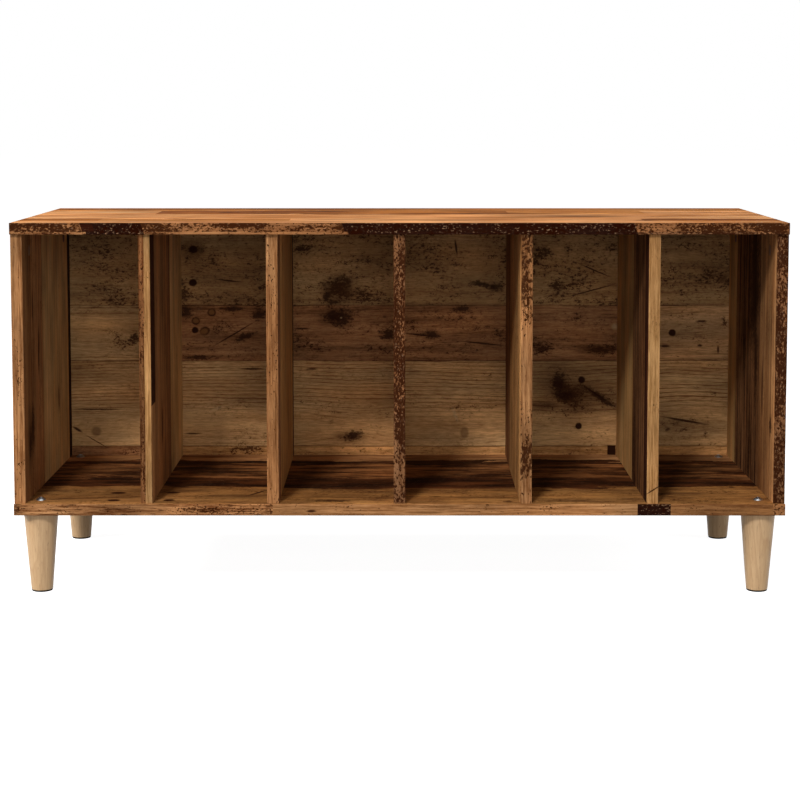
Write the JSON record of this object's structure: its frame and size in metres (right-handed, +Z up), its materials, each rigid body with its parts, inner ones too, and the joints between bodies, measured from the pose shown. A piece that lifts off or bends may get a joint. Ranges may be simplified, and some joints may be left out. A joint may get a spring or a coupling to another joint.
{
  "type": "record cabinet",
  "caption": "Low open record cabinet with upright dividers between two boards, a thin back panel and tapered wooden legs, in boards printed like old wood.",
  "frame": {"origin": "on the floor under the middle of the cabinet", "axes": "+Z up, +X along the width to the right of someone facing the open front, -Y to the front"},
  "size_m": [1, 0.38, 0.485],
  "materials": {
    "printed_board": "satin old-wood print",
    "printed_fibreboard": "matt old-wood print",
    "printed_edge_band": "satin old-wood print",
    "leg_wood": "clear lacquer",
    "pad_rubber": "matt",
    "zinc_steel": "zinc plated",
    "cam_zinc": "die cast",
    "cap_plastic": "matt",
    "dowel_beech": "bare"
  },
  "bodies": {
    "root": {"top_panel": "printed_board", "bottom_panel": "printed_board", "left_side_panel": "printed_board", "right_side_panel": "printed_board", "divider_1": "printed_board", "divider_2": "printed_board", "divider_3": "printed_board", "divider_4": "printed_board", "divider_5": "printed_board", "back_panel": "printed_fibreboard", "top_edge_bands": "printed_edge_band", "bottom_edge_bands": "printed_edge_band", "left_side_edge_bands": "printed_edge_band", "divider_1_edge_bands": "printed_edge_band", "divider_2_edge_bands": "printed_edge_band", "divider_3_edge_bands": "printed_edge_band", "divider_4_edge_bands": "printed_edge_band", "divider_5_edge_bands": "printed_edge_band", "right_side_edge_bands": "printed_edge_band", "front_left_leg": "leg_wood", "front_right_leg": "leg_wood", "rear_left_leg": "leg_wood", "rear_right_leg": "leg_wood", "front_left_foot_pad": "pad_rubber", "front_right_foot_pad": "pad_rubber", "rear_left_foot_pad": "pad_rubber", "rear_right_foot_pad": "pad_rubber", "leg_bolts": "zinc_steel", "leg_inserts": "zinc_steel", "carcass_screws": "zinc_steel", "cam_bolts": "zinc_steel", "back_panel_pins": "zinc_steel", "cam_locks": "cam_zinc", "cam_cover_caps": "cap_plastic", "top_dowels": "dowel_beech", "bottom_dowels": "dowel_beech"}
  },
  "joints": []
}
